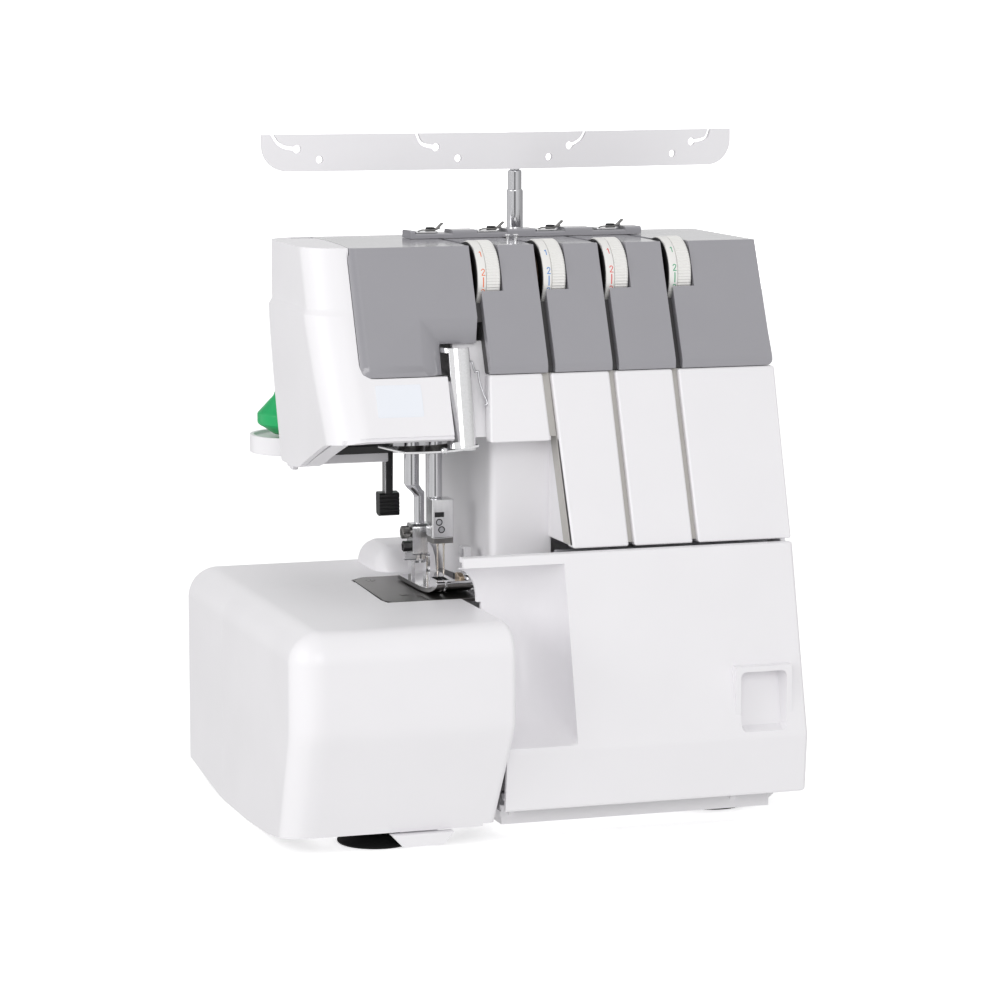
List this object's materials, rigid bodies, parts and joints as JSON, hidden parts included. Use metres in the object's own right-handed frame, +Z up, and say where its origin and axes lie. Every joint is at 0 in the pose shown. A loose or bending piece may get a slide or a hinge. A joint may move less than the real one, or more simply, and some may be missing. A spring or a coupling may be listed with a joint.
{
  "type": "serger overlock machine",
  "caption": "White tabletop overlock sewing machine with free arm, gray dial cover, tension dials, presser foot, swinging cloth plate, hinged looper cover and telescopic thread stand.",
  "frame": {"origin": "Centre of the bounding box footprint, at table level under the feet.", "axes": "+Z up; +X to the operator's right, towards the handwheel; +Y away from the operator, towards the spool stand."},
  "size_m": [0.312, 0.282, 0.3515],
  "materials": {
    "white_plastic": "satin moulded white",
    "gray_plastic": "glossy mid gray",
    "dial_plastic": "fine ribbed off white",
    "black_plastic": "matte black",
    "black_rubber": "matte black rubber",
    "green_plastic": "bright green",
    "chrome_metal": "polished plating",
    "steel_metal": "ground steel",
    "cast_aluminium": "as cast"
  },
  "bodies": {
    "casing": {"base_tray": "white_plastic", "foot_front_left": "black_rubber", "foot_front_right": "black_rubber", "foot_rear_left": "black_rubber", "foot_rear_right": "black_rubber", "rear_bed": "white_plastic", "needle_plate": "steel_metal", "inner_panel": "gray_plastic", "main_frame": "cast_aluminium", "front_panel": "white_plastic", "column_cover": "white_plastic", "face_cover": "white_plastic", "top_cover": "gray_plastic", "rear_cover": "white_plastic", "belt_cover": "white_plastic", "motor": "black_plastic", "drive_belt": "black_rubber", "lower_knife": "steel_metal", "take_up_cover": "chrome_metal", "tension_shaft": "steel_metal", "guide_strip": "gray_plastic", "thread_clip_1": "chrome_metal", "thread_clip_2": "chrome_metal", "thread_clip_3": "chrome_metal", "thread_clip_4": "chrome_metal", "spool_stand": "white_plastic", "rod_lower": "chrome_metal", "inlet_socket": "black_plastic"},
    "cloth_plate": {"cloth_plate": "white_plastic"},
    "cover_slide": {"cover_hinge_rod": "steel_metal"},
    "looper_cover": {"looper_cover": "white_plastic"},
    "drive": {"main_shaft": "steel_metal", "handwheel": "white_plastic"},
    "motor_pulley": {"motor_pulley": "black_plastic"},
    "needle_bar": {"needle_bar": "chrome_metal", "needle_clamp": "chrome_metal", "needle_left": "steel_metal", "needle_right": "steel_metal"},
    "foot_lifter": {"foot_lifter": "black_plastic"},
    "presser_bar": {"presser_bar": "chrome_metal", "foot_holder": "steel_metal"},
    "presser_foot": {"presser_foot": "chrome_metal"},
    "tension_dial_1": {"tension_dial_1": "dial_plastic"},
    "tension_dial_2": {"tension_dial_2": "dial_plastic"},
    "tension_dial_3": {"tension_dial_3": "dial_plastic"},
    "tension_dial_4": {"tension_dial_4": "dial_plastic"},
    "rod_middle": {"rod_middle": "chrome_metal"},
    "rod_upper": {"rod_upper": "chrome_metal"},
    "thread_guide": {"thread_guide": "white_plastic"},
    "spool_cone_1": {"spool_cone_1": "green_plastic"},
    "spool_cone_2": {"spool_cone_2": "green_plastic"},
    "spool_cone_3": {"spool_cone_3": "green_plastic"},
    "spool_cone_4": {"spool_cone_4": "green_plastic"},
    "upper_looper": {"upper_looper": "steel_metal"},
    "lower_looper": {"lower_looper": "steel_metal"},
    "upper_knife": {"upper_knife": "steel_metal"},
    "feed_dog": {"feed_dog": "steel_metal"},
    "take_up_lever": {"take_up_lever": "chrome_metal"},
    "power_switch": {"power_switch": "black_plastic"},
    "stitch_dial": {"stitch_dial": "gray_plastic"}
  },
  "joints": [
    {"name": "cloth_plate_swing", "type": "hinge", "parent": "casing", "child": "cloth_plate", "pos_m": [-0.1545, 0.009, 0.06], "axis": [0, 0, 1], "range_deg": [-95, 0]},
    {"name": "cover_shift", "type": "slide", "parent": "casing", "child": "cover_slide", "axis": [1, 0, 0], "range_m": [0, 0.008]},
    {"name": "cover_tilt", "type": "hinge", "parent": "cover_slide", "child": "looper_cover", "pos_m": [-0.04, -0.113, 0.022], "axis": [1, 0, 0], "range_deg": [0, 75]},
    {"name": "handwheel_turn", "type": "hinge", "parent": "casing", "child": "drive", "pos_m": [0.133, 0.019, 0.15], "axis": [1, 0, 0], "continuous": true},
    {"name": "motor_turn", "type": "hinge", "parent": "casing", "child": "motor_pulley", "pos_m": [0.1055, -0.001, 0.058], "axis": [1, 0, 0], "continuous": true},
    {"name": "needle_stroke", "type": "slide", "parent": "casing", "child": "needle_bar", "axis": [0, 0, 1], "range_m": [-0.006, 0.024]},
    {"name": "lifter_raise", "type": "hinge", "parent": "casing", "child": "foot_lifter", "pos_m": [-0.0574, 0.04, 0.198], "axis": [1, 0, 0], "range_deg": [0, 40]},
    {"name": "presser_rise", "type": "slide", "parent": "casing", "child": "presser_bar", "axis": [0, 0, 1], "range_m": [0, 0.006]},
    {"name": "foot_tilt", "type": "hinge", "parent": "presser_bar", "child": "presser_foot", "pos_m": [-0.0584, 0.01, 0.128], "axis": [1, 0, 0], "range_deg": [-15, 0]},
    {"name": "tension_turn_1", "type": "hinge", "parent": "casing", "child": "tension_dial_1", "pos_m": [-0.0294, -0.0188, 0.279], "axis": [1, 0, 0], "range_deg": [-60, 240]},
    {"name": "tension_turn_2", "type": "hinge", "parent": "casing", "child": "tension_dial_2", "pos_m": [0.0066, -0.0188, 0.279], "axis": [1, 0, 0], "range_deg": [-60, 240]},
    {"name": "tension_turn_3", "type": "hinge", "parent": "casing", "child": "tension_dial_3", "pos_m": [0.0414, -0.0188, 0.279], "axis": [1, 0, 0], "range_deg": [-60, 240]},
    {"name": "tension_turn_4", "type": "hinge", "parent": "casing", "child": "tension_dial_4", "pos_m": [0.0769, -0.0188, 0.279], "axis": [1, 0, 0], "range_deg": [-60, 240]},
    {"name": "rod_middle_extend", "type": "slide", "parent": "casing", "child": "rod_middle", "axis": [0, 0, 1], "range_m": [0, 0.11]},
    {"name": "rod_upper_extend", "type": "slide", "parent": "rod_middle", "child": "rod_upper", "axis": [0, 0, 1], "range_m": [0, 0.09]},
    {"name": "guide_turn", "type": "hinge", "parent": "rod_upper", "child": "thread_guide", "pos_m": [0.027, 0.071, 0.3315], "axis": [0, 0, 1], "range_deg": [-90, 90]},
    {"name": "cone_lift_1", "type": "slide", "parent": "casing", "child": "spool_cone_1", "axis": [0, 0, 1], "range_m": [0, 0.05]},
    {"name": "cone_lift_2", "type": "slide", "parent": "casing", "child": "spool_cone_2", "axis": [0, 0, 1], "range_m": [0, 0.05]},
    {"name": "cone_lift_3", "type": "slide", "parent": "casing", "child": "spool_cone_3", "axis": [0, 0, 1], "range_m": [0, 0.05]},
    {"name": "cone_lift_4", "type": "slide", "parent": "casing", "child": "spool_cone_4", "axis": [0, 0, 1], "range_m": [0, 0.05]},
    {"name": "upper_looper_swing", "type": "hinge", "parent": "casing", "child": "upper_looper", "pos_m": [-0.014, -0.021, 0.066], "axis": [0, 1, 0], "range_deg": [-10, 10]},
    {"name": "lower_looper_swing", "type": "hinge", "parent": "casing", "child": "lower_looper", "pos_m": [-0.014, -0.01, 0.046], "axis": [0, 1, 0], "range_deg": [-8, 10]},
    {"name": "knife_stroke", "type": "slide", "parent": "casing", "child": "upper_knife", "axis": [0, 0, 1], "range_m": [0, 0.006]},
    {"name": "feed_travel", "type": "slide", "parent": "casing", "child": "feed_dog", "axis": [0, 1, 0], "range_m": [-0.002, 0.002]},
    {"name": "take_up_swing", "type": "hinge", "parent": "casing", "child": "take_up_lever", "pos_m": [-0.044, -0.017, 0.2295], "axis": [1, 0, 0], "range_deg": [-12, 12]},
    {"name": "switch_rock", "type": "hinge", "parent": "casing", "child": "power_switch", "pos_m": [0.128, 0.015, 0.046], "axis": [0, 1, 0], "range_deg": [0, 8]},
    {"name": "stitch_turn", "type": "hinge", "parent": "casing", "child": "stitch_dial", "pos_m": [0.1304, -0.033, 0.074], "axis": [1, 0, 0], "range_deg": [-150, 150]}
  ],
  "couplings": [
    {"joint": "motor_turn", "follows": "handwheel_turn", "ratio": 4},
    {"joint": "lifter_raise", "follows": "presser_rise", "rad_per_m": 116.35}
  ]
}
